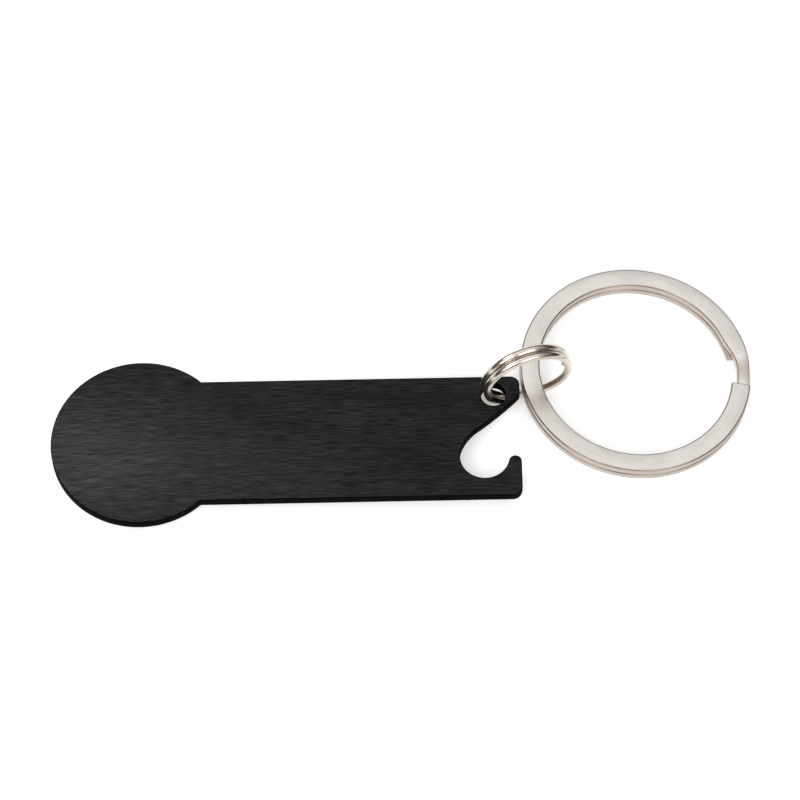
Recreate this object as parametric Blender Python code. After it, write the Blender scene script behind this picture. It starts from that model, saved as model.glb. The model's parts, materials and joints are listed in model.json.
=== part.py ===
"""Keychain bottle opener: a flat steel opener with a coin-sized head, a small
split ring through the hole in its corner, and a flat split ring for the keys.

Metres, +Z up. The opener lies on a table at z = 0: the rim of its head touches
the table, its other end rests on the small split ring, which stands on edge in
the hole, and the key ring lies over the small ring's wire. The origin is on
the table, under the middle of the whole object. +X runs from the head to the
key ring.

The plate is drawn in its own frame: the head's centre on the underside, +X
towards the hooked end, +Z through the sheet. Each split ring is drawn flat
about its own centre, with its axis along +Z.
"""

from math import acos, asin, atan2, ceil, cos, degrees, hypot, pi, radians, sin, sqrt, tan

import bmesh
import bpy
from mathutils import Matrix, Vector

MM = 0.001

# ---- opener plate -----------------------------------------------------------
HEAD_DIAMETER = 23.25 * MM  # the coin that a trolley lock takes
BODY_WIDTH = 17.24 * MM
BODY_REACH = 49.25 * MM  # head's centre to the hooked end
SHEET = 1.5 * MM
EDGE_ROUND = 0.15 * MM  # tumbled edges

UPPER_CORNER_RADIUS = 1.2 * MM  # beside the keyring hole
LOWER_CORNER_RADIUS = 1.3 * MM  # at the foot of the hook
END_FLAT = 2.65 * MM  # straight end from the upper corner down to the lip
LIP_FILLET = 0.8 * MM
LIP_CROWN_RADIUS = 46.0 * MM  # the lip is very slightly convex
THROAT_RADIUS = 6.2 * MM
THROAT_MEETS_BOWL = 160.0  # degrees round the bowl, from +X
BOWL_RADIUS = 3.2 * MM
BOWL_WALL = 2.54 * MM  # steel left between the bowl and the lower side
HOOK_TIP_RADIUS = 0.83 * MM
HOOK_TIP_DROP = 0.86 * MM  # from the bowl's centre down to the tip's

HOLE_SIDE_WALL = 1.05 * MM  # steel between the keyring hole and the upper side
HOLE_END_WALL = 1.85 * MM  # and between the hole and the end

# ---- small split ring -------------------------------------------------------
SMALL_WIRE = 1.05 * MM
SMALL_DIAMETER = 12.17 * MM  # outside
SMALL_COIL_GAP = 0.05 * MM  # between its two coils
SMALL_FIRST_END = -115.0  # degrees round the ring, from +X, where the wire starts
SMALL_SINGLE_ARC = 105.0  # degrees with one wire only, between the two ends
SMALL_SEAT_ANGLE = 55.0  # degrees between the wire and the sheet, in the hole
SMALL_HEADING = 17.6  # degrees that the ring's plane turns from the plate's length
HOLE_CLEARANCE = 0.2 * MM  # round the two coils where they pass the hole

# ---- key split ring ---------------------------------------------------------
KEY_DIAMETER = 30.3 * MM  # outside
KEY_BAND = 2.5 * MM  # width of the flat wire
KEY_LEAF = 1.1 * MM  # its thickness
KEY_LEAF_ROUND = 0.2 * MM
KEY_LEAF_GAP = 0.05 * MM
KEY_NECK_BAND = 1.6 * MM  # width left where the band steps down a layer
KEY_NECK_TAPER = 21.0  # degrees over which the band narrows
KEY_FIRST_END = -17.0
KEY_SINGLE_ARC = 20.0
KEY_HEADING = 8.5  # degrees, from the plate's upper corner to the ring's centre
KEY_TO_PLATE = 0.3 * MM  # gap between the ring and that corner
KEY_TO_WIRE = 0.25 * MM  # gap between the ring and the wire that it lies on

# ---- how it lies ------------------------------------------------------------
CLIMB_HEADING = 24.0  # degrees: the plate rises that way, from its head's rim

# ---- mesh fineness ----------------------------------------------------------
CHORD_ERROR = 0.01 * MM
HOLE_SIDES = 32
WIRE_SIDES = 12
WIRE_STEP = 7.5  # degrees of ring from one section to the next
BAND_STEP = 6.0
CORNER_SIDES = 2  # flats on each rounded corner of the flat wire
SMOOTH_ANGLE = 30.0


def material(name, colour, metallic, roughness):
    made = bpy.data.materials.new(name)
    made.use_nodes = True
    shader = made.node_tree.nodes["Principled BSDF"]
    shader.inputs["Base Color"].default_value = (*colour, 1.0)
    shader.inputs["Metallic"].default_value = metallic
    shader.inputs["Roughness"].default_value = roughness
    return made


def add_object(name, mesh, finish):
    mesh.shade_smooth()
    mesh.set_sharp_from_angle(angle=radians(SMOOTH_ANGLE))
    mesh.materials.append(finish)
    made = bpy.data.objects.new(name, mesh)
    bpy.context.scene.collection.objects.link(made)
    return made


def add_empty(name, matrix):
    made = bpy.data.objects.new(name, None)
    made.empty_display_size = 5 * MM
    made.matrix_world = matrix
    bpy.context.scene.collection.objects.link(made)
    return made


def hang(child, parent):
    """Parents child where it stands."""
    bpy.context.view_layer.update()
    child.parent = parent
    child.matrix_parent_inverse = parent.matrix_world.inverted()


def arc(centre, radius, start, end):
    """Points on an arc, in degrees, close enough to leave no more than CHORD_ERROR."""
    widest = 2 * degrees(acos(1 - min(CHORD_ERROR / radius, 1)))
    steps = max(2, ceil(abs(end - start) / widest))
    angles = (radians(start + (end - start) * i / steps) for i in range(steps + 1))
    return [(centre[0] + radius * cos(a), centre[1] + radius * sin(a)) for a in angles]


def bearing(origin, target):
    """Degrees from origin to target, counted from +X."""
    return degrees(atan2(target[1] - origin[1], target[0] - origin[0]))


def ahead(origin, angle, distance):
    return (origin[0] + distance * cos(radians(angle)), origin[1] + distance * sin(radians(angle)))


# ---- sizes that follow from those above -------------------------------------
HEAD_RADIUS = HEAD_DIAMETER / 2
HALF_WIDTH = BODY_WIDTH / 2

SMALL_COIL_RADIUS = (SMALL_DIAMETER - SMALL_WIRE) / 2
SMALL_PITCH = SMALL_WIRE + SMALL_COIL_GAP

# Each wire crosses the sheet at a slant, which draws its section out along the sheet.
SEAT = radians(SMALL_SEAT_ANGLE)
SLANTED_WIRE = SMALL_WIRE / sin(SEAT)
HOLE_RADIUS = hypot(SHEET / 2 / tan(SEAT), SMALL_PITCH / 2) + SLANTED_WIRE / 2 + HOLE_CLEARANCE
HOLE_CENTRE = (
    BODY_REACH - HOLE_END_WALL - HOLE_RADIUS,
    HALF_WIDTH - HOLE_SIDE_WALL - HOLE_RADIUS,
)

KEY_RADIUS = KEY_DIAMETER / 2
KEY_MID_RADIUS = KEY_RADIUS - KEY_BAND / 2
KEY_PITCH = KEY_LEAF + KEY_LEAF_GAP
KEY_HEIGHT = KEY_PITCH + KEY_LEAF

UPPER_CORNER = (BODY_REACH - UPPER_CORNER_RADIUS, HALF_WIDTH - UPPER_CORNER_RADIUS)


# ---- opener plate -----------------------------------------------------------
def mouth_points():
    """The cap hook, from the plate's end at the tip's side, round the bowl and up to the lip."""
    tip_x = BODY_REACH - HOOK_TIP_RADIUS
    bowl_y = BOWL_WALL + BOWL_RADIUS - HALF_WIDTH
    tip_y = bowl_y - HOOK_TIP_DROP
    bowl_x = tip_x - sqrt((BOWL_RADIUS + HOOK_TIP_RADIUS) ** 2 - HOOK_TIP_DROP**2)
    bowl = (bowl_x, bowl_y)
    tip = (tip_x, tip_y)
    tip_meets_bowl = bearing(bowl, tip)
    points = arc(tip, HOOK_TIP_RADIUS, 0, 180 + tip_meets_bowl)
    points += arc(bowl, BOWL_RADIUS, tip_meets_bowl, THROAT_MEETS_BOWL - 360)[1:]

    throat = ahead(bowl, THROAT_MEETS_BOWL, BOWL_RADIUS - THROAT_RADIUS)
    lip_corner = (BODY_REACH, HALF_WIDTH - END_FLAT)
    span = hypot(lip_corner[0] - throat[0], lip_corner[1] - throat[1])
    # The lip's circle passes through the lip's corner and touches the throat's from outside.
    along = ((LIP_CROWN_RADIUS + THROAT_RADIUS) ** 2 - LIP_CROWN_RADIUS**2 + span**2) / (2 * span)
    across = sqrt((LIP_CROWN_RADIUS + THROAT_RADIUS) ** 2 - along**2)
    to_corner = bearing(throat, lip_corner)
    crown = ahead(ahead(throat, to_corner, along), to_corner + 90, across)
    throat_meets_lip = bearing(throat, crown)
    points += arc(throat, THROAT_RADIUS, THROAT_MEETS_BOWL - 360, throat_meets_lip - 360)[1:]

    fillet_x = BODY_REACH - LIP_FILLET
    drop = sqrt((LIP_CROWN_RADIUS - LIP_FILLET) ** 2 - (fillet_x - crown[0]) ** 2)
    fillet = (fillet_x, crown[1] - drop)
    lip_meets_fillet = bearing(crown, fillet)
    points += arc(crown, LIP_CROWN_RADIUS, throat_meets_lip - 180, lip_meets_fillet)[1:]
    points += arc(fillet, LIP_FILLET, lip_meets_fillet, 0)[1:]
    return points


def plate_outline():
    """Counter-clockwise, from the upper neck round the head."""
    neck = degrees(asin(HALF_WIDTH / HEAD_RADIUS))
    lower = (BODY_REACH - LOWER_CORNER_RADIUS, LOWER_CORNER_RADIUS - HALF_WIDTH)
    points = arc((0, 0), HEAD_RADIUS, neck, 360 - neck)
    points += arc(lower, LOWER_CORNER_RADIUS, -90, 0)
    points += mouth_points()
    points += arc(UPPER_CORNER, UPPER_CORNER_RADIUS, 0, 90)
    return points


def build_plate(finish):
    bm = bmesh.new()
    underside = bm.faces.new([bm.verts.new((x, y, 0)) for x, y in plate_outline()])
    risen = bmesh.ops.extrude_face_region(bm, geom=[underside])["geom"]
    top = [v for v in risen if isinstance(v, bmesh.types.BMVert)]
    bmesh.ops.translate(bm, verts=top, vec=(0, 0, SHEET))
    bmesh.ops.recalc_face_normals(bm, faces=bm.faces)
    mesh = bpy.data.meshes.new("opener_plate")
    bm.to_mesh(mesh)
    bm.free()
    plate = add_object("opener_plate", mesh, finish)

    drill = bpy.data.meshes.new("hole_cutter")
    bm = bmesh.new()
    bmesh.ops.create_cone(
        bm,
        cap_ends=True,
        segments=HOLE_SIDES,
        radius1=HOLE_RADIUS,
        radius2=HOLE_RADIUS,
        depth=3 * SHEET,
    )
    bm.to_mesh(drill)
    bm.free()
    cutter = bpy.data.objects.new("hole_cutter", drill)
    cutter.hide_render = True
    cutter.display_type = "WIRE"
    cutter.location = (*HOLE_CENTRE, SHEET / 2)
    bpy.context.scene.collection.objects.link(cutter)
    cutter.parent = plate

    cut = plate.modifiers.new("keyring_hole", "BOOLEAN")
    cut.operation = "DIFFERENCE"
    cut.solver = "EXACT"
    cut.object = cutter
    tumble = plate.modifiers.new("tumbled_edges", "BEVEL")
    tumble.width = EDGE_ROUND
    tumble.segments = 2
    tumble.limit_method = "ANGLE"
    tumble.angle_limit = radians(60)
    tumble.use_clamp_overlap = False
    return plate


# ---- split rings ------------------------------------------------------------
def ease(x):
    x = min(max(x, 0), 1)
    return x * x * (3 - 2 * x)


def round_section(diameter, sides):
    """(outward, upward) points round a wire's centre."""
    return [
        (diameter / 2 * cos(2 * pi * i / sides), diameter / 2 * sin(2 * pi * i / sides))
        for i in range(sides)
    ]


def flat_section(width, thickness, corner):
    """(outward, upward) points round a flat wire with rounded corners."""
    points = []
    for quarter, (right, up) in enumerate(((1, 1), (-1, 1), (-1, -1), (1, -1))):
        for i in range(CORNER_SIDES + 1):
            turn = radians(90 * (quarter + i / CORNER_SIDES))
            out = right * (width / 2 - corner) + corner * cos(turn)
            rise = up * (thickness / 2 - corner) + corner * sin(turn)
            points.append((out, rise))
    return points


def wound_ring(name, finish, section, radius, pitch, first_end, single_arc, step, neck=None):
    """A split ring: one wire wound clockwise from its upper layer to its lower one.

    It starts at first_end in the upper layer. Over the last single_arc degrees of its
    first turn it steps down, and it then runs under itself until its other end meets
    the place where the step begins. neck is (width, narrowed width, taper in degrees)
    of a flat wire that is narrowed on its inner side where it steps down.
    """
    travel = 720 - single_arc
    stations = ceil(travel / step)
    bm = bmesh.new()
    rings = []
    for i in range(stations + 1):
        gone = travel * i / stations
        turn = radians(first_end - gone)
        height = pitch / 2 - pitch * ease((gone - 360 + single_arc) / single_arc)
        narrowed = 0
        if neck:
            width, neck_width, taper = neck
            outside = max(360 - single_arc - gone, gone - 360 - taper / 2)
            narrowed = (width - neck_width) * (1 - ease(outside / taper + 0.5))
        loop = []
        for out, rise in section:
            if neck:
                out += narrowed * (0.5 - out / width)
            reached = radius + out
            loop.append(bm.verts.new((reached * cos(turn), reached * sin(turn), height + rise)))
        rings.append(loop)
    count = len(section)
    for near, far in zip(rings, rings[1:]):
        for i in range(count):
            after = (i + 1) % count
            bm.faces.new((near[i], near[after], far[after], far[i]))
    bm.faces.new(rings[0])
    bm.faces.new(rings[-1])
    bmesh.ops.recalc_face_normals(bm, faces=bm.faces)
    mesh = bpy.data.meshes.new(name)
    bm.to_mesh(mesh)
    bm.free()
    return add_object(name, mesh, finish)


# ---- how the pieces lie -----------------------------------------------------
def plate_at_rest():
    """The plate's place: the head's rim on the table, the end lifted by the small ring."""
    climb = Vector((cos(radians(CLIMB_HEADING)), sin(radians(CLIMB_HEADING)), 0))
    foot = small_ring_centre() - Vector((0, 0, SMALL_DIAMETER / 2))
    tilt = atan2(-foot.z, HEAD_RADIUS + foot.dot(climb))
    rim = -HEAD_RADIUS * climb
    lean = Matrix.Rotation(tilt, 4, climb.cross(Vector((0, 0, 1))))
    return Matrix.Translation(rim) @ lean @ Matrix.Translation(-rim)


def small_ring_centre():
    """In the plate's frame: the wire's centre line passes the middle of the hole."""
    across = ahead(HOLE_CENTRE, SMALL_HEADING, SMALL_COIL_RADIUS * sin(SEAT))
    return Vector((*across, SHEET / 2 + SMALL_COIL_RADIUS * cos(SEAT)))


def small_ring_turn():
    """Stands the ring on edge, with its axis level and its +X along SMALL_HEADING."""
    return Matrix.Rotation(radians(SMALL_HEADING), 4, "Z") @ Matrix.Rotation(pi / 2, 4, "X")


def key_ring_at_rest(plate_place):
    """One side on the table, the other on the small ring's lower wire."""
    corner = plate_place @ Vector((*UPPER_CORNER, 0))
    away = UPPER_CORNER_RADIUS + KEY_TO_PLATE + KEY_RADIUS
    centre = ahead(corner, KEY_HEADING, away)
    foot = plate_place @ (small_ring_centre() - Vector((0, 0, SMALL_DIAMETER / 2)))
    to_foot = (foot[0] - centre[0], foot[1] - centre[1])
    run = to_foot[0] * cos(radians(SMALL_HEADING)) + to_foot[1] * sin(radians(SMALL_HEADING))
    beside = sqrt(run**2 - hypot(*to_foot) ** 2 + KEY_MID_RADIUS**2)
    crossing = ahead(foot, SMALL_HEADING, -run - beside)
    # The band's inner edge meets the wire where the wire has begun to rise.
    out = hypot(crossing[0] - foot[0], crossing[1] - foot[1]) + KEY_BAND / 2
    bore = SMALL_COIL_RADIUS - SMALL_WIRE / 2
    wire_top = SMALL_DIAMETER / 2 - sqrt(bore**2 - out**2)
    lean = asin((wire_top + KEY_TO_WIRE) / (2 * KEY_RADIUS - KEY_BAND))
    height = KEY_RADIUS * sin(lean) + KEY_HEIGHT / 2 * cos(lean)
    turn = Matrix.Rotation(radians(bearing(crossing, centre)), 4, "Z")
    return Matrix.Translation((*centre, height)) @ turn @ Matrix.Rotation(lean, 4, "Y")


for old in list(bpy.data.objects):
    bpy.data.objects.remove(old, do_unlink=True)

black_steel = material("black_brushed_steel", (0.032, 0.032, 0.033), 0.9, 0.42)
satin_nickel = material("satin_nickel", (0.62, 0.60, 0.57), 1.0, 0.32)
bright_nickel = material("bright_nickel", (0.66, 0.63, 0.59), 1.0, 0.15)

# The origin is under the middle of the object, so everything moves back by this much.
on_head = plate_at_rest()
key_middle = key_ring_at_rest(on_head).translation
middle = Matrix.Translation(
    (
        -(key_middle.x + KEY_RADIUS - HEAD_RADIUS) / 2,
        -(key_middle.y + KEY_RADIUS - HEAD_RADIUS) / 2,
        0,
    )
)
plate_place = middle @ on_head

plate_rest = add_empty("plate_rest", plate_place)
opener_plate = build_plate(black_steel)
opener_plate.parent = plate_rest

# The small ring turns in the hole about a plumb axis, so it stays on the table as it turns.
hole_middle = plate_place @ Vector((*HOLE_CENTRE, SHEET / 2))
hole_pivot = add_empty("hole_pivot", Matrix.Translation(hole_middle))
hang(hole_pivot, plate_rest)
small_split_ring = wound_ring(
    "small_split_ring",
    bright_nickel,
    round_section(SMALL_WIRE, WIRE_SIDES),
    SMALL_COIL_RADIUS,
    SMALL_PITCH,
    SMALL_FIRST_END,
    SMALL_SINGLE_ARC,
    WIRE_STEP,
)
small_place = plate_place @ Matrix.Translation(small_ring_centre()) @ small_ring_turn()
small_split_ring.matrix_world = small_place
hang(small_split_ring, hole_pivot)

# The key ring slides round inside the small ring, so it turns about the small ring's centre.
ring_pivot = add_empty("ring_pivot", small_place)
hang(ring_pivot, hole_pivot)
key_split_ring = wound_ring(
    "key_split_ring",
    satin_nickel,
    flat_section(KEY_BAND, KEY_LEAF, KEY_LEAF_ROUND),
    KEY_MID_RADIUS,
    KEY_PITCH,
    KEY_FIRST_END,
    KEY_SINGLE_ARC,
    BAND_STEP,
    neck=(KEY_BAND, KEY_NECK_BAND, KEY_NECK_TAPER),
)
key_split_ring.matrix_world = middle @ key_ring_at_rest(on_head)
hang(key_split_ring, ring_pivot)
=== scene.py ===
"""Looks for a keychain bottle opener: a black brushed plate, a small round-wire split
ring through the hole in its corner, and a flat split ring for the keys.

The pieces' sizes are in millimetres and are brought to metres as each piece is placed.
The table, the lamps and the camera are in metres. Angles are written in degrees.
"""

import json
from math import acos, asin, atan2, ceil, cos, degrees, hypot, pi, radians, sin, sqrt, tan

import bmesh
import bpy
from mathutils import Matrix, Vector


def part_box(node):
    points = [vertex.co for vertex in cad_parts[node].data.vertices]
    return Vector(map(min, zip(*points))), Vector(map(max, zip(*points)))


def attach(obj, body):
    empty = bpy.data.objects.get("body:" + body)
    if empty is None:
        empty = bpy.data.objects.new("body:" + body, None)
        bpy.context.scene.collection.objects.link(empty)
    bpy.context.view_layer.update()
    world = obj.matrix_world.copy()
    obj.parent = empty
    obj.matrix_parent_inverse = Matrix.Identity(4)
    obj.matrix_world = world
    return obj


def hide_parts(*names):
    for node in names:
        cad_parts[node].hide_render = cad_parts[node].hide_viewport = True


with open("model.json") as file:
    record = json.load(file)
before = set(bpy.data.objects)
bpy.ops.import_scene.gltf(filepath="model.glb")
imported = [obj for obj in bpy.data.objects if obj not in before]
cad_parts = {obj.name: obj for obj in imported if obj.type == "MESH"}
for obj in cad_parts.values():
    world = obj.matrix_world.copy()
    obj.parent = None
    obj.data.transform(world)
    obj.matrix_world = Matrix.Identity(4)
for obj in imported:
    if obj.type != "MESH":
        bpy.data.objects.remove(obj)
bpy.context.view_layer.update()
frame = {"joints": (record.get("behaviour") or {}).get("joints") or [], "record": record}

# ---- opener plate -----------------------------------------------------------
# One stamping of 1.5 mm steel sheet: a coin-sized head, a straight body, a cap hook cut
# into its far end and a hole for the rings. Its faces are brushed lengthwise, it is
# tumbled to round the edges, and then it is coated black all over.
MM = 0.001
HEAD_RADIUS = 23.25 / 2
HALF_WIDTH = 17.24 / 2
REACH = 49.25  # head's centre to the hooked end
SHEET = 1.5
EDGE_ROUND = 0.15  # tumbled edges
EDGE_FLATS = 4
EDGE_TURN = 60.0  # an edge that turns by more than this is rounded
UPPER_CORNER_RADIUS = 1.2  # beside the keyring hole
LOWER_CORNER_RADIUS = 1.3  # at the foot of the hook
END_FLAT = 2.65  # straight end from the upper corner down to the lip
LIP_FILLET = 0.8
LIP_CROWN_RADIUS = 46.0  # the lip is very slightly convex
THROAT_RADIUS = 6.2
THROAT_MEETS_BOWL = 160.0  # round the bowl, from +X
BOWL_RADIUS = 3.2
BOWL_WALL = 2.54  # steel left between the bowl and the lower side
HOOK_TIP_RADIUS = 0.83
HOOK_TIP_DROP = 0.86  # from the bowl's centre down to the tip's
HOLE_SIDE_WALL = 1.05  # steel between the keyring hole and the upper side
HOLE_END_WALL = 1.85  # and between the hole and the end
HOLE_SIDES = 96
CHORD_ERROR = 0.0008  # how far a round stretch's flats may cut inside it
FEWEST_FLATS = 3
PLATE_CREASE = 40.0
BRUSHED_UPRIGHT = 0.9  # a face is brushed if its normal is more upright than this

# The hole takes the small ring's two coils where they cross the sheet at a slant.
SMALL_WIRE = 1.05
SMALL_PITCH = 1.1
SEAT = radians(55.0)
HOLE_CLEARANCE = 0.2
HOLE_RADIUS = (
    hypot(SHEET / 2 / tan(SEAT), SMALL_PITCH / 2) + SMALL_WIRE / sin(SEAT) / 2 + HOLE_CLEARANCE
)
HOLE_CENTRE = (REACH - HOLE_END_WALL - HOLE_RADIUS, HALF_WIDTH - HOLE_SIDE_WALL - HOLE_RADIUS)


def arc(centre, radius, start, end):
    """Points on an arc, in degrees, fine enough to look round close up."""
    widest = 2 * degrees(acos(1 - CHORD_ERROR / radius))
    steps = max(FEWEST_FLATS, ceil(abs(end - start) / widest))
    angles = (radians(start + (end - start) * i / steps) for i in range(steps + 1))
    return [(centre[0] + radius * cos(a), centre[1] + radius * sin(a)) for a in angles]


def bearing(origin, target):
    """The direction of the target, from +X."""
    return degrees(atan2(target[1] - origin[1], target[0] - origin[0]))


def ahead(origin, angle, distance):
    """The point that lies this far from the origin in that direction."""
    turn = radians(angle)
    return (origin[0] + distance * cos(turn), origin[1] + distance * sin(turn))


def mouth_points():
    """The cap hook: round the tip, the bowl and the throat, then along the lip."""
    tip_x = REACH - HOOK_TIP_RADIUS
    bowl_y = BOWL_WALL + BOWL_RADIUS - HALF_WIDTH
    tip = (tip_x, bowl_y - HOOK_TIP_DROP)
    bowl = (tip_x - sqrt((BOWL_RADIUS + HOOK_TIP_RADIUS) ** 2 - HOOK_TIP_DROP**2), bowl_y)
    tip_meets_bowl = bearing(bowl, tip)
    points = arc(tip, HOOK_TIP_RADIUS, 0, 180 + tip_meets_bowl)
    points += arc(bowl, BOWL_RADIUS, tip_meets_bowl, THROAT_MEETS_BOWL - 360)[1:]

    # The lip's crown touches the throat and passes the corner where the lip ends.
    throat = ahead(bowl, THROAT_MEETS_BOWL, BOWL_RADIUS - THROAT_RADIUS)
    lip_corner = (REACH, HALF_WIDTH - END_FLAT)
    span = hypot(lip_corner[0] - throat[0], lip_corner[1] - throat[1])
    apart = LIP_CROWN_RADIUS + THROAT_RADIUS
    along = (apart**2 - LIP_CROWN_RADIUS**2 + span**2) / (2 * span)
    across = sqrt(apart**2 - along**2)
    to_corner = bearing(throat, lip_corner)
    crown = ahead(ahead(throat, to_corner, along), to_corner + 90, across)
    throat_meets_lip = bearing(throat, crown)
    points += arc(throat, THROAT_RADIUS, THROAT_MEETS_BOWL - 360, throat_meets_lip - 360)[1:]

    fillet_x = REACH - LIP_FILLET
    drop = sqrt((LIP_CROWN_RADIUS - LIP_FILLET) ** 2 - (fillet_x - crown[0]) ** 2)
    fillet = (fillet_x, crown[1] - drop)
    lip_meets_fillet = bearing(crown, fillet)
    points += arc(crown, LIP_CROWN_RADIUS, throat_meets_lip - 180, lip_meets_fillet)[1:]
    points += arc(fillet, LIP_FILLET, lip_meets_fillet, 0)[1:]
    return points


def shown(bm, name):
    """A new object in the scene with this mesh; the bmesh is freed."""
    made = bpy.data.objects.new(name, bpy.data.meshes.new(name))
    bm.to_mesh(made.data)
    bm.free()
    bpy.context.scene.collection.objects.link(made)
    return made


def round_edges(shaped, width, flats, turn):
    """Rounds the edges that turn by more than this many degrees."""
    tumbled = shaped.modifiers.new("rounded_edges", "BEVEL")
    tumbled.width = width
    tumbled.segments = flats
    tumbled.limit_method = "ANGLE"
    tumbled.angle_limit = radians(turn)
    tumbled.use_clamp_overlap = False


def plain_mesh(shaped, name):
    """The shaped object's result as a plain mesh; the shaped object is removed."""
    view = bpy.context.evaluated_depsgraph_get()
    mesh = bpy.data.meshes.new_from_object(shaped.evaluated_get(view), depsgraph=view)
    mesh.name = name
    bpy.data.objects.remove(shaped, do_unlink=True)
    return mesh


def put(mesh, name, place):
    """Writes the place, in metres, into the mesh and shows it as a piece."""
    mesh.transform(place @ Matrix.Scale(MM, 4))
    mesh.update()
    piece = bpy.data.objects.new(name, mesh)
    bpy.context.scene.collection.objects.link(piece)
    return piece


def stamp_plate():
    """The plate, its head's centre at the origin and its underside at zero height."""
    neck = degrees(asin(HALF_WIDTH / HEAD_RADIUS))
    lower = (REACH - LOWER_CORNER_RADIUS, LOWER_CORNER_RADIUS - HALF_WIDTH)
    upper = (REACH - UPPER_CORNER_RADIUS, HALF_WIDTH - UPPER_CORNER_RADIUS)
    outline = arc((0, 0), HEAD_RADIUS, neck, 360 - neck)
    outline += arc(lower, LOWER_CORNER_RADIUS, -90, 0)
    outline += mouth_points()
    outline += arc(upper, UPPER_CORNER_RADIUS, 0, 90)
    bm = bmesh.new()
    sheet = bm.faces.new([bm.verts.new((x, y, 0)) for x, y in outline])
    risen = bmesh.ops.extrude_face_region(bm, geom=[sheet])["geom"]
    top = [v for v in risen if isinstance(v, bmesh.types.BMVert)]
    bmesh.ops.translate(bm, verts=top, vec=(0, 0, SHEET))
    bmesh.ops.recalc_face_normals(bm, faces=bm.faces)
    blank = shown(bm, "blank")

    bm = bmesh.new()
    bmesh.ops.create_cone(
        bm,
        cap_ends=True,
        segments=HOLE_SIDES,
        radius1=HOLE_RADIUS,
        radius2=HOLE_RADIUS,
        depth=3 * SHEET,
        matrix=Matrix.Translation((*HOLE_CENTRE, SHEET / 2)),
    )
    punch = shown(bm, "punch")
    cut = blank.modifiers.new("keyring_hole", "BOOLEAN")
    cut.solver = "EXACT"
    cut.object = punch
    round_edges(blank, EDGE_ROUND, EDGE_FLATS, EDGE_TURN)
    mesh = plain_mesh(blank, "black_opener_plate")
    bpy.data.objects.remove(punch, do_unlink=True)
    return mesh


def named_material(name, colour, metallic, roughness):
    """A material, its nodes, a function that joins two sockets, and its shader."""
    made = bpy.data.materials.new(name)
    made.use_nodes = True
    shader = made.node_tree.nodes["Principled BSDF"]
    shader.inputs["Base Color"].default_value = (*colour, 1.0)
    shader.inputs["Metallic"].default_value = metallic
    shader.inputs["Roughness"].default_value = roughness
    return made, made.node_tree.nodes, made.node_tree.links.new, shader


def colour_ramp(nodes, *steps):
    """A ramp through these (position, colour) steps."""
    made = nodes.new("ShaderNodeValToRGB")
    elements = made.color_ramp.elements
    elements.remove(elements[1])
    elements[0].position, elements[0].color = steps[0]
    for position, colour in steps[1:]:
        elements.new(position).color = colour
    return made


def streaks(nodes, join, source, scale, detail, steps):
    """Noise drawn out by scale, mapped through a ramp's (position, grey) steps."""
    stretch = nodes.new("ShaderNodeMapping")
    stretch.inputs["Scale"].default_value = scale
    noise = nodes.new("ShaderNodeTexNoise")
    noise.inputs["Scale"].default_value = 1.0
    noise.inputs["Detail"].default_value = detail
    ramp = colour_ramp(nodes, *((position, (grey, grey, grey, 1)) for position, grey in steps))
    join(source, stretch.inputs["Vector"])
    join(stretch.outputs["Vector"], noise.inputs["Vector"])
    join(noise.outputs["Fac"], ramp.inputs["Fac"])
    return ramp.outputs["Color"]


def colour_mix(nodes, blend):
    """A node that mixes two colours: its factor, both colours and its result."""
    mix = nodes.new("ShaderNodeMix")
    mix.data_type = "RGBA"
    mix.blend_type = blend
    first, second = (socket for socket in mix.inputs if socket.type == "RGBA")
    result = next(socket for socket in mix.outputs if socket.type == "RGBA")
    return mix.inputs["Factor"], first, second, result


def times(nodes, join, tone, other):
    """The tone's colour times the other, which is a pattern or one plain colour."""
    factor, first, second, product = colour_mix(nodes, "MULTIPLY")
    factor.default_value = 1.0
    join(tone, first)
    if isinstance(other, tuple):
        second.default_value = other
    else:
        join(other, second)
    return product


def relief(nodes, join, shader, pattern, strength, depth):
    """Lets the light catch a pattern that stands up by this depth, in metres."""
    bump = nodes.new("ShaderNodeBump")
    bump.inputs["Strength"].default_value = strength
    bump.inputs["Distance"].default_value = depth
    join(pattern, bump.inputs["Height"])
    join(bump.outputs["Normal"], shader.inputs["Normal"])


def brushed_black():
    """Black coating over fine scratches that run the length of the plate."""
    made, nodes, join, shader = named_material("brushed_black_face", (0.04, 0.04, 0.042), 1.0, 0.4)
    shader.inputs["Anisotropic"].default_value = 0.55
    grain = nodes.new("ShaderNodeTangent")
    grain.direction_type = "UV_MAP"
    grain.uv_map = "grain"
    join(grain.outputs["Tangent"], shader.inputs["Tangent"])
    where = nodes.new("ShaderNodeUVMap")
    where.uv_map = "grain"
    source = where.outputs["UV"]
    fine = streaks(nodes, join, source, (420, 7500, 1), 3.0, ((0.3, 0.25), (0.7, 1.15)))
    broad = streaks(nodes, join, source, (130, 1500, 1), 2.0, ((0.3, 0.68), (0.7, 1.0)))
    patchy = streaks(nodes, join, source, (60, 110, 1), 2.0, ((0.3, 0.86), (0.7, 1.0)))
    tone = times(nodes, join, times(nodes, join, fine, broad), patchy)
    tone = times(nodes, join, tone, (0.034, 0.034, 0.034, 1))
    join(tone, shader.inputs["Base Color"])
    wear = streaks(nodes, join, source, (420, 6000, 1), 2.0, ((0.3, 0.36), (0.7, 0.46)))
    join(wear, shader.inputs["Roughness"])
    relief(nodes, join, shader, fine, strength=0.35, depth=0.00001)
    return made


def shaded_black_edge():
    """Black coating over the sheared edge, slightly torn, with painted shade: darker and duller
    than the faces, kept from reflecting the table.
    """
    made, nodes, join, shader = named_material("painted_shade_cut_edge", (0.003, 0.003, 0.003), 0.0, 0.5)
    shader.inputs["Specular IOR Level"].default_value = 0.004
    source = nodes.new("ShaderNodeTexCoord").outputs["Object"]
    torn = streaks(nodes, join, source, (2500, 2500, 500), 2.0, ((0.3, 0.4), (0.7, 0.62)))
    join(torn, shader.inputs["Roughness"])
    return made


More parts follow.
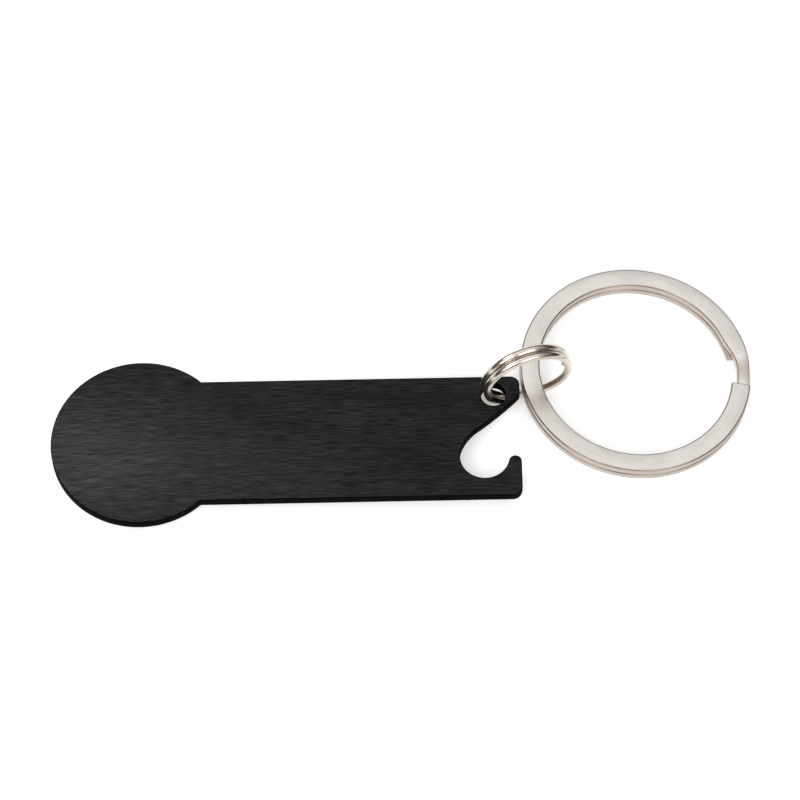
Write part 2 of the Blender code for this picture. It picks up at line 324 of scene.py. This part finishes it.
mounts = frame["record"]["mounts"]
underside = next(mount for mount in mounts if mount["name"] == "head_underside")
plate_up = -Vector(underside["axis"])
plate_lean = Vector((0, 0, 1)).rotation_difference(plate_up).to_matrix().to_4x4()
plate_place = Matrix.Translation(underside["pos_m"]) @ plate_lean

plate_mesh = stamp_plate()
plate_mesh.materials.clear()
plate_mesh.materials.append(brushed_black())
plate_mesh.materials.append(shaded_black_edge())
grain_map = plate_mesh.uv_layers.new(name="grain")
# Faces less upright than BRUSHED_UPRIGHT get the edge material, whose dark tone is painted shade.
for face in plate_mesh.polygons:
    face.use_smooth = True
    face.material_index = 0 if abs(face.normal.z) > BRUSHED_UPRIGHT else 1
    for corner in face.loop_indices:
        at = plate_mesh.vertices[plate_mesh.loops[corner].vertex_index].co
        grain_map.data[corner].uv = (at.x * MM, at.y * MM)
plate_mesh.set_sharp_from_angle(angle=radians(PLATE_CREASE))
plate = put(plate_mesh, "black_opener_plate", plate_place)
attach(plate, "opener")
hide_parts("opener_plate")

# ---- small split ring -------------------------------------------------------
# Round spring-steel wire, 1.05 mm thick, wound about one and three quarter turns, cut
# square, tumbled and nickel plated bright. It passes the plate's hole twice and stands on
# edge, with its wire's two layers side by side.
SMALL_DIAMETER = 12.17  # outside
SMALL_FIRST_END = -115.0  # round the ring, from +X, where the wire starts
SMALL_SINGLE_ARC = 105.0  # the stretch between the ends that has one layer only
SMALL_CUT_ROUND = 0.16
SMALL_STATIONS = 380
SMALL_CORNER_POINTS = 8
CUT_FLATS = 3
CUT_TURN = 55.0
WIRE_CREASE = 35.0
WELD = 0.002  # a round wire's four corners meet, and their double points are joined


def feed(join, sockets, values):
    """Sets each socket to its number, or joins it to the socket given for it."""
    for socket, value in zip(sockets, values):
        if isinstance(value, (int, float)):
            socket.default_value = value
        else:
            join(value, socket)


def maths(nodes, join, operation, *values):
    """The result of one sum."""
    made = nodes.new("ShaderNodeMath")
    made.operation = operation
    feed(join, made.inputs, values)
    return made.outputs[0]


def wound_wire_tree():
    """A split ring's wire, wound clockwise from its upper layer to its lower one.

    Over the single arc, at the end of its first turn, it steps down a layer. Where it
    does, a flat wire may be narrowed on its inner side.
    """
    tree = bpy.data.node_groups.new("wound_wire", "GeometryNodeTree")
    tree.is_modifier = True
    tree.interface.new_socket(name="Geometry", in_out="OUTPUT", socket_type="NodeSocketGeometry")
    for name in (
        "Coil Radius",
        "Pitch",
        "First End",
        "Single Arc",
        "Wire Width",
        "Wire Height",
        "Corner Radius",
        "Neck Width",
        "Neck Taper",
    ):
        tree.interface.new_socket(name=name, in_out="INPUT", socket_type="NodeSocketFloat")
    for name in ("Stations", "Corner Points"):
        tree.interface.new_socket(name=name, in_out="INPUT", socket_type="NodeSocketInt")
    tree.interface.new_socket(name="Finish", in_out="INPUT", socket_type="NodeSocketMaterial")
    nodes = tree.nodes
    join = tree.links.new
    size = nodes.new("NodeGroupInput").outputs

    def calc(operation, *values):
        return maths(nodes, join, operation, *values)

    def eased(value, low, high):
        made = nodes.new("ShaderNodeMapRange")
        made.interpolation_type = "SMOOTHSTEP"
        feed(join, made.inputs, (value, low, high))
        return made.outputs[0]

    # The path: evenly spaced stations along the wire, wound into place.
    line = nodes.new("GeometryNodeCurvePrimitiveLine")
    resample = nodes.new("GeometryNodeResampleCurve")
    join(line.outputs[0], resample.inputs["Curve"])
    join(size["Stations"], resample.inputs["Count"])
    index = nodes.new("GeometryNodeInputIndex").outputs[0]
    travel = calc("SUBTRACT", 4 * pi, size["Single Arc"])
    portion = calc("DIVIDE", index, calc("SUBTRACT", size["Stations"], 1.0))
    gone = calc("MULTIPLY", portion, travel)
    turn = calc("SUBTRACT", size["First End"], gone)
    step_start = calc("SUBTRACT", 2 * pi, size["Single Arc"])
    stepped = eased(gone, step_start, 2 * pi)
    height = calc("MULTIPLY", size["Pitch"], calc("SUBTRACT", 0.5, stepped))
    path_point = nodes.new("ShaderNodeCombineXYZ")
    join(calc("MULTIPLY", size["Coil Radius"], calc("COSINE", turn)), path_point.inputs[0])
    join(calc("MULTIPLY", size["Coil Radius"], calc("SINE", turn)), path_point.inputs[1])
    join(height, path_point.inputs[2])
    wind = nodes.new("GeometryNodeSetPosition")
    join(resample.outputs[0], wind.inputs["Geometry"])
    join(path_point.outputs[0], wind.inputs["Position"])
    upright = nodes.new("GeometryNodeSetCurveNormal")
    upright.mode = "Z_UP"
    join(wind.outputs[0], upright.inputs["Curve"])
    keep = nodes.new("GeometryNodeCaptureAttribute")
    keep.capture_items.new("FLOAT", "Gone")
    join(upright.outputs[0], keep.inputs[0])
    join(gone, keep.inputs[1])

    # The section: a rectangle with round corners, drawn along the path.
    section = nodes.new("GeometryNodeCurvePrimitiveQuadrilateral")
    join(size["Wire Width"], section.inputs["Width"])
    join(size["Wire Height"], section.inputs["Height"])
    rounded = nodes.new("GeometryNodeFilletCurve")
    rounded.mode = "POLY"
    join(section.outputs[0], rounded.inputs["Curve"])
    join(size["Corner Radius"], rounded.inputs["Radius"])
    join(size["Corner Points"], rounded.inputs["Count"])
    draw = nodes.new("GeometryNodeCurveToMesh")
    draw.inputs["Fill Caps"].default_value = True
    join(keep.outputs[0], draw.inputs["Curve"])
    join(rounded.outputs[0], draw.inputs["Profile Curve"])
    weld = nodes.new("GeometryNodeMergeByDistance")
    weld.inputs["Distance"].default_value = WELD
    join(draw.outputs[0], weld.inputs["Geometry"])

    # The neck: points move towards the outer side by their share of the lost width.
    at = nodes.new("ShaderNodeSeparateXYZ")
    join(nodes.new("GeometryNodeInputPosition").outputs[0], at.inputs[0])
    gone = keep.outputs[1]
    x_squared = calc("POWER", at.outputs[0], 2.0)
    y_squared = calc("POWER", at.outputs[1], 2.0)
    reached = calc("SQRT", calc("ADD", x_squared, y_squared))
    out = calc("SUBTRACT", reached, size["Coil Radius"])
    before = calc("SUBTRACT", step_start, gone)
    past_step = calc("SUBTRACT", gone, 2 * pi)
    after = calc("SUBTRACT", past_step, calc("MULTIPLY", size["Neck Taper"], 0.5))
    outside = calc("DIVIDE", calc("MAXIMUM", before, after), size["Neck Taper"])
    lost = calc(
        "MULTIPLY",
        calc("SUBTRACT", size["Wire Width"], size["Neck Width"]),
        calc("SUBTRACT", 1.0, eased(outside, -0.5, 0.5)),
    )
    share = calc("SUBTRACT", 0.5, calc("DIVIDE", out, size["Wire Width"]))
    moved = calc("ADD", reached, calc("MULTIPLY", lost, share))
    scale = calc("DIVIDE", moved, reached)
    squeezed = nodes.new("ShaderNodeCombineXYZ")
    join(calc("MULTIPLY", at.outputs[0], scale), squeezed.inputs[0])
    join(calc("MULTIPLY", at.outputs[1], scale), squeezed.inputs[1])
    join(at.outputs[2], squeezed.inputs[2])
    squeeze = nodes.new("GeometryNodeSetPosition")
    join(weld.outputs[0], squeeze.inputs["Geometry"])
    join(squeezed.outputs[0], squeeze.inputs["Position"])

    # Along the wire, across it and up it: the grain of the finish reads this.
    place = nodes.new("ShaderNodeCombineXYZ")
    join(calc("MULTIPLY", gone, size["Coil Radius"]), place.inputs[0])
    join(out, place.inputs[1])
    join(at.outputs[2], place.inputs[2])
    mark = nodes.new("GeometryNodeStoreNamedAttribute")
    mark.data_type = "FLOAT_VECTOR"
    mark.domain = "POINT"
    mark.inputs["Name"].default_value = "wire_place"
    join(squeeze.outputs[0], mark.inputs["Geometry"])
    join(place.outputs[0], mark.inputs["Value"])
    plain = nodes.new("GeometryNodeRealizeInstances")
    finish = nodes.new("GeometryNodeSetMaterial")
    join(mark.outputs[0], plain.inputs[0])
    join(plain.outputs[0], finish.inputs["Geometry"])
    join(size["Finish"], finish.inputs["Material"])
    join(finish.outputs[0], nodes.new("NodeGroupOutput").inputs[0])
    return tree


def wind_ring(name, tree, cut_round, sizes):
    """The tree's result as a plain mesh, with the edges of its two cut ends rounded."""
    holder = bpy.data.objects.new(name, bpy.data.meshes.new(name + "_start"))
    wound = holder.modifiers.new("wound_wire", "NODES")
    wound.node_group = tree
    for item in tree.interface.items_tree:
        if item.in_out == "INPUT":
            wound[item.identifier] = sizes[item.name]
    bpy.context.scene.collection.objects.link(holder)
    round_edges(holder, cut_round, CUT_FLATS, CUT_TURN)
    mesh = plain_mesh(holder, name)
    bm = bmesh.new()
    bm.from_mesh(mesh)
    bmesh.ops.recalc_face_normals(bm, faces=bm.faces)
    bm.to_mesh(mesh)
    bm.free()
    mesh.shade_smooth()
    mesh.set_sharp_from_angle(angle=radians(WIRE_CREASE))
    return mesh


def along_wire(nodes):
    """The place along, across and up the wire, in millimetres."""
    where = nodes.new("ShaderNodeAttribute")
    where.attribute_name = "wire_place"
    return where.outputs["Vector"]


def bright_nickel():
    """Polished nickel over drawn wire, whose faint lines run its length."""
    made, nodes, join, shader = named_material("bright_nickel_plate", (0.64, 0.58, 0.52), 1.0, 0.2)
    source = along_wire(nodes)
    drawn = streaks(nodes, join, source, (0.12, 6.0, 6.0), 2.0, ((0.3, 0.82), (0.7, 1.0)))
    join(times(nodes, join, drawn, (0.7, 0.63, 0.56, 1)), shader.inputs["Base Color"])
    worn = streaks(nodes, join, source, (0.3, 2.0, 2.0), 2.0, ((0.3, 0.16), (0.7, 0.28)))
    join(worn, shader.inputs["Roughness"])
    relief(nodes, join, shader, drawn, strength=0.12, depth=0.00002)
    return made


wound_wire = wound_wire_tree()
small_mesh = wind_ring(
    "small_wire_ring",
    wound_wire,
    SMALL_CUT_ROUND,
    {
        "Coil Radius": (SMALL_DIAMETER - SMALL_WIRE) / 2,
        "Pitch": SMALL_PITCH,
        "First End": radians(SMALL_FIRST_END),
        "Single Arc": radians(SMALL_SINGLE_ARC),
        "Wire Width": SMALL_WIRE,
        "Wire Height": SMALL_WIRE,
        "Corner Radius": SMALL_WIRE / 2,
        "Neck Width": SMALL_WIRE,
        "Neck Taper": radians(SMALL_SINGLE_ARC),
        "Stations": SMALL_STATIONS,
        "Corner Points": SMALL_CORNER_POINTS,
        "Finish": bright_nickel(),
    },
)
swing = next(joint for joint in frame["joints"] if joint["name"] == "key_ring_swing")
small_axis = Vector(swing["axis"]).normalized()
small_turn = Matrix((plate_up.cross(small_axis), plate_up, small_axis)).transposed().to_4x4()
small_place = Matrix.Translation(swing["pos_m"]) @ small_turn
small_ring = put(small_mesh, "small_wire_ring", small_place)
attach(small_ring, "small_ring")
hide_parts("small_split_ring")

# ---- key split ring ---------------------------------------------------------
# Flat spring-steel wire wound just under two turns, its two layers lying on each other.
# It is necked where it steps from one layer to the other beside the ends, barrel
# finished so that its edges round over, and plated satin nickel.
KEY_DIAMETER = 30.3  # outside
KEY_BAND = 2.5  # width of the flat wire
KEY_LEAF = 1.1  # its thickness
KEY_LEAF_ROUND = 0.24
KEY_LEAF_GAP = 0.05
KEY_NECK_BAND = 1.6  # width left where the wire steps down a layer
KEY_NECK_TAPER = 21.0  # the stretch over which it narrows
KEY_FIRST_END = -17.0
KEY_SINGLE_ARC = 20.0
KEY_CUT_ROUND = 0.12
KEY_STATIONS = 900
KEY_CORNER_POINTS = 5
# Painted shade: the ramp darkens the rounded edges and side walls by how far their normals turn
# from upright; the flats keep full brightness.
FLAT_WHITE = (1.0, 1.0, 1.0, 1.0)
EDGE_SHADE_BROWN = (0.42, 0.34, 0.28, 1.0)
SIDE_SHADE_GREY = (0.68, 0.65, 0.63, 1.0)
KEY_TURN = 9.582  # from +X to the side that lies on the table
KEY_LEAN = 3.434  # the other side lies on the small ring's wire


def painted_edge_shade(nodes, join):
    """Painted shade by facing: full brightness on the flats, brown painted shade on the rounded
    edges, grey painted shade on the side walls.
    """
    facing = nodes.new("ShaderNodeSeparateXYZ")
    join(nodes.new("ShaderNodeTexCoord").outputs["Normal"], facing.inputs[0])
    upward = maths(nodes, join, "ABSOLUTE", facing.outputs[2])
    shade = colour_ramp(
        nodes,
        (0.2, SIDE_SHADE_GREY),
        (0.5, EDGE_SHADE_BROWN),
        (0.88, EDGE_SHADE_BROWN),
        (0.98, FLAT_WHITE),
    )
    join(upward, shade.inputs["Fac"])
    return shade.outputs["Color"]


def satin_nickel():
    """Satin nickel over rolled wire, faintly clouded and pitted, with painted shade on its rounded
    edges and sides.
    """
    made, nodes, join, shader = named_material("satin_nickel_plate", (0.62, 0.6, 0.57), 1.0, 0.3)
    source = along_wire(nodes)
    rolled = streaks(nodes, join, source, (0.5, 16.0, 16.0), 2.0, ((0.3, 0.9), (0.7, 1.0)))
    clouds = streaks(nodes, join, source, (0.22, 0.5, 0.5), 2.0, ((0.35, 0.9), (0.65, 1.0)))
    tone = times(nodes, join, times(nodes, join, rolled, clouds), (0.74, 0.705, 0.665, 1))
    # Painted shade on the rounded edges and side walls darkens the tone.
    tone = times(nodes, join, tone, painted_edge_shade(nodes, join))
    join(tone, shader.inputs["Base Color"])
    satin = streaks(nodes, join, source, (1.5, 6.0, 6.0), 3.0, ((0.3, 0.26), (0.7, 0.4)))
    join(satin, shader.inputs["Roughness"])
    pitted = streaks(nodes, join, source, (9.0, 9.0, 9.0), 3.0, ((0.3, 0.0), (0.7, 1.0)))
    relief(nodes, join, shader, pitted, strength=0.25, depth=0.00002)
    return made


key_mesh = wind_ring(
    "flat_key_ring",
    wound_wire,
    KEY_CUT_ROUND,
    {
        "Coil Radius": (KEY_DIAMETER - KEY_BAND) / 2,
        "Pitch": KEY_LEAF + KEY_LEAF_GAP,
        "First End": radians(KEY_FIRST_END),
        "Single Arc": radians(KEY_SINGLE_ARC),
        "Wire Width": KEY_BAND,
        "Wire Height": KEY_LEAF,
        "Corner Radius": KEY_LEAF_ROUND,
        "Neck Width": KEY_NECK_BAND,
        "Neck Taper": radians(KEY_NECK_TAPER),
        "Stations": KEY_STATIONS,
        "Corner Points": KEY_CORNER_POINTS,
        "Finish": satin_nickel(),
    },
)
key_low, key_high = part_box("key_split_ring")
key_lean = radians(KEY_LEAN)
key_height = KEY_DIAMETER / 2 * sin(key_lean) + (KEY_LEAF + KEY_LEAF_GAP / 2) * cos(key_lean)
key_centre = ((key_low.x + key_high.x) / 2, (key_low.y + key_high.y) / 2, key_height * MM)
key_turn = Matrix.Rotation(radians(KEY_TURN), 4, "Z") @ Matrix.Rotation(key_lean, 4, "Y")
key_ring = put(key_mesh, "flat_key_ring", Matrix.Translation(key_centre) @ key_turn)
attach(key_ring, "key_ring")
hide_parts("key_split_ring")

# ---- table, lights and camera -----------------------------------------------
# A matt white table under large soft lamps, in a pale room that is darker towards the
# horizon, so that the bright wires have something to show.
TABLE_SIDE = 6.0
TABLE_GLOW = 0.3  # keeps the table white in the shadows
ROOM_LOW = (0.05, 0.045, 0.04, 1)
ROOM_HIGH = (0.7, 0.7, 0.7, 1)
BACKDROP_WHITE = (0.95, 0.95, 0.95, 1)
VIEW_TARGET = Vector((-0.000316, 0.000348, 0))
VIEW_DISTANCE = 0.52328
VIEW_HEIGHT = radians(61.333)  # above the table
VIEW_HEADING = radians(3.067)  # round from +Y
VIEW_ROLL = radians(2.492)
LENS_LENGTH = 180  # a long lens keeps the perspective slight
SENSOR_WIDTH = 36

bm = bmesh.new()
bmesh.ops.create_grid(bm, x_segments=1, y_segments=1, size=TABLE_SIDE / 2)
table = shown(bm, "table")
table_finish, _, _, table_shader = named_material("white_table", (0.9, 0.9, 0.9), 0.0, 0.9)
table_shader.inputs["Emission Color"].default_value = (1, 1, 1, 1)
table_shader.inputs["Emission Strength"].default_value = TABLE_GLOW
table.data.materials.append(table_finish)


def softbox(name, heading, height, distance, side, power, target=Vector()):
    """A square lamp that faces the target, from this heading and height above it."""
    lamp = bpy.data.lights.new(name, "AREA")
    lamp.shape = "SQUARE"
    lamp.size = side
    lamp.energy = power
    level_out = cos(radians(height))
    turn = radians(heading)
    away = Vector((level_out * cos(turn), level_out * sin(turn), sin(radians(height))))
    made = bpy.data.objects.new(name, lamp)
    facing = away.to_track_quat("Z", "Y").to_matrix().to_4x4()
    made.matrix_world = Matrix.Translation(target + away * distance) @ facing
    bpy.context.scene.collection.objects.link(made)


softbox("overhead", heading=90, height=70, distance=1.0, side=1.0, power=1.7)
softbox("front_right", heading=-60, height=40, distance=1.1, side=0.6, power=5)
softbox("front_left", heading=-125, height=40, distance=1.1, side=0.6, power=5)
head = Vector(underside["pos_m"])
softbox("over_the_head", heading=130, height=62, distance=0.1, side=0.045, power=0.03, target=head)

room = bpy.data.worlds.new("pale_room")
room.use_nodes = True
bpy.context.scene.world = room
nodes = room.node_tree.nodes
join = room.node_tree.links.new
way = nodes.new("ShaderNodeTexCoord")
parts = nodes.new("ShaderNodeSeparateXYZ")
fade = colour_ramp(nodes, (0.4, ROOM_LOW), (0.8, ROOM_HIGH))
join(way.outputs["Generated"], parts.inputs[0])
join(parts.outputs[2], fade.inputs["Fac"])
seen_directly, mirrored, backdrop, room_colour = colour_mix(nodes, "MIX")
join(nodes.new("ShaderNodeLightPath").outputs["Is Camera Ray"], seen_directly)
join(fade.outputs["Color"], mirrored)
backdrop.default_value = BACKDROP_WHITE
join(room_colour, nodes["Background"].inputs["Color"])

level_ahead = cos(VIEW_HEIGHT)
ahead_way = Vector(
    (level_ahead * sin(VIEW_HEADING), level_ahead * cos(VIEW_HEADING), -sin(VIEW_HEIGHT))
)
level = Vector((cos(VIEW_HEADING), -sin(VIEW_HEADING), 0))
camera_right = level * cos(VIEW_ROLL) + level.cross(ahead_way) * sin(VIEW_ROLL)
camera_up = camera_right.cross(ahead_way)
lens = bpy.data.cameras.new("camera")
lens.sensor_width = SENSOR_WIDTH
lens.lens = LENS_LENGTH
camera = bpy.data.objects.new("camera", lens)
camera_turn = Matrix((camera_right, camera_up, -ahead_way)).transposed().to_4x4()
camera.matrix_world = Matrix.Translation(VIEW_TARGET - ahead_way * VIEW_DISTANCE) @ camera_turn
bpy.context.scene.collection.objects.link(camera)
bpy.context.scene.camera = camera
bpy.context.scene.view_settings.view_transform = "Standard"
